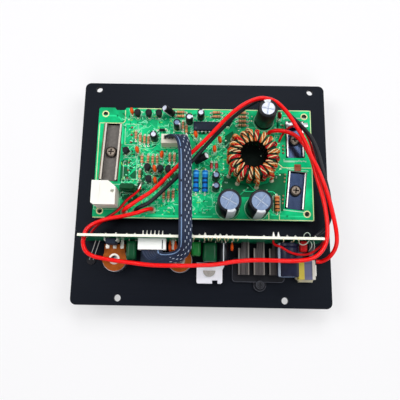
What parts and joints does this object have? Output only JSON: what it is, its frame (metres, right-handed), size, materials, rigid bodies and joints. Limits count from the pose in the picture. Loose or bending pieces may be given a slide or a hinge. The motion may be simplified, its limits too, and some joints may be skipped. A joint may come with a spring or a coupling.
{
  "type": "audio amplifier board",
  "caption": "Panel-mounted audio amplifier: flat metal panel carrying a populated green circuit board, an upright control board with turning controls, a toroid and loose wiring",
  "frame": {"origin": "middle of the panel's inner face", "axes": "+X along the panel's width to the right seen from inside, +Y to the panel's upper edge, +Z away from the panel's inner face, into the cabinet"},
  "size_m": [0.1733, 0.157, 0.054],
  "materials": {
    "panel_black": "satin brushed",
    "green_board": "lacquered",
    "spacer_white": "matte",
    "grey_steel": "brushed",
    "bright_steel": "polished",
    "screw_steel": "satin",
    "black_plastic": "matte",
    "chip_grey": "matte",
    "pad_white": "matte",
    "core_green": "coated",
    "copper_wire": "enamelled",
    "red_wire_enamel": "enamelled",
    "tinned_metal": "tinned",
    "can_sleeve": "shrunk sleeve",
    "navy_sleeve": "shrunk sleeve",
    "ceramic_orange": "dipped",
    "resistor_beige": "lacquered",
    "resistor_blue": "lacquered",
    "diode_red": "glass-like",
    "film_green": "dipped",
    "white_plastic": "moulded",
    "brown_wafer": "laminate",
    "can_metal": "satin",
    "switch_grey": "matte",
    "lug_metal": "satin",
    "fuse_cream": "moulded",
    "fuse_yellow": "clear tint",
    "lamp_red": "clear tint",
    "wire_red": "glossy",
    "wire_black": "glossy",
    "ribbon_navy": "satin"
  },
  "bodies": {
    "chassis": {"panel": "panel_black", "main_board": "green_board", "control_board": "green_board", "board_spacers": "spacer_white", "left_clamp_bar": "grey_steel", "right_clamp_bars": "bright_steel", "clamp_screws": "screw_steel", "output_transistors": "black_plastic", "switching_transistors": "black_plastic", "rectifiers": "black_plastic", "insulating_pads": "pad_white", "toroid_core": "core_green", "copper_winding": "copper_wire", "red_winding": "red_wire_enamel", "winding_leads": "tinned_metal", "left_filter_capacitor": "can_sleeve", "right_filter_capacitor": "can_sleeve", "supply_capacitor": "can_sleeve", "small_capacitors": "can_sleeve", "ceramic_capacitors": "ceramic_orange", "signal_transistors": "black_plastic", "small_resistors": "resistor_beige", "power_resistors": "resistor_blue", "diodes": "diode_red", "controller_chip": "chip_grey", "film_capacitor": "film_green", "speaker_socket": "white_plastic", "ribbon_plug": "white_plastic", "control_plug": "white_plastic", "pot_cans": "can_metal", "pot_wafers": "brown_wafer", "pot_terminals": "tinned_metal", "pot_nuts": "can_metal", "switch_body": "switch_grey", "control_film_capacitors": "film_green", "control_capacitor": "can_sleeve", "input_capacitor": "navy_sleeve", "control_discs": "ceramic_orange", "op_amp_chip": "chip_grey", "jack_body": "white_plastic", "jack_shell": "can_metal", "terminal_block": "black_plastic", "terminal_lugs": "lug_metal", "terminal_screws": "screw_steel", "fuse_holder": "fuse_cream", "blade_fuse": "fuse_yellow", "indicator_lamp": "lamp_red", "ribbon_cable": "ribbon_navy", "long_red_wire": "wire_red", "loop_red_wire": "wire_red", "black_wire": "wire_black", "thin_red_wire": "wire_red", "pair_red_wire": "wire_red", "pair_black_wire": "wire_black"},
    "level_control": {"level_shaft": "can_metal", "level_knob": "black_plastic"},
    "frequency_control": {"frequency_shaft": "can_metal", "frequency_knob": "black_plastic"},
    "phase_slider": {"switch_slider": "black_plastic"}
  },
  "joints": [
    {"name": "level_turn", "type": "hinge", "parent": "chassis", "child": "level_control", "pos_m": [-0.0566, -0.049, 0], "axis": [0, 0, 1], "range_deg": [-150, 150]},
    {"name": "frequency_turn", "type": "hinge", "parent": "chassis", "child": "frequency_control", "pos_m": [-0.0142, -0.049, 0], "axis": [0, 0, 1], "range_deg": [-150, 150]},
    {"name": "phase_slide", "type": "slide", "parent": "chassis", "child": "phase_slider", "axis": [1, 0, 0], "range_m": [-0.0018, 0.0018]}
  ]
}
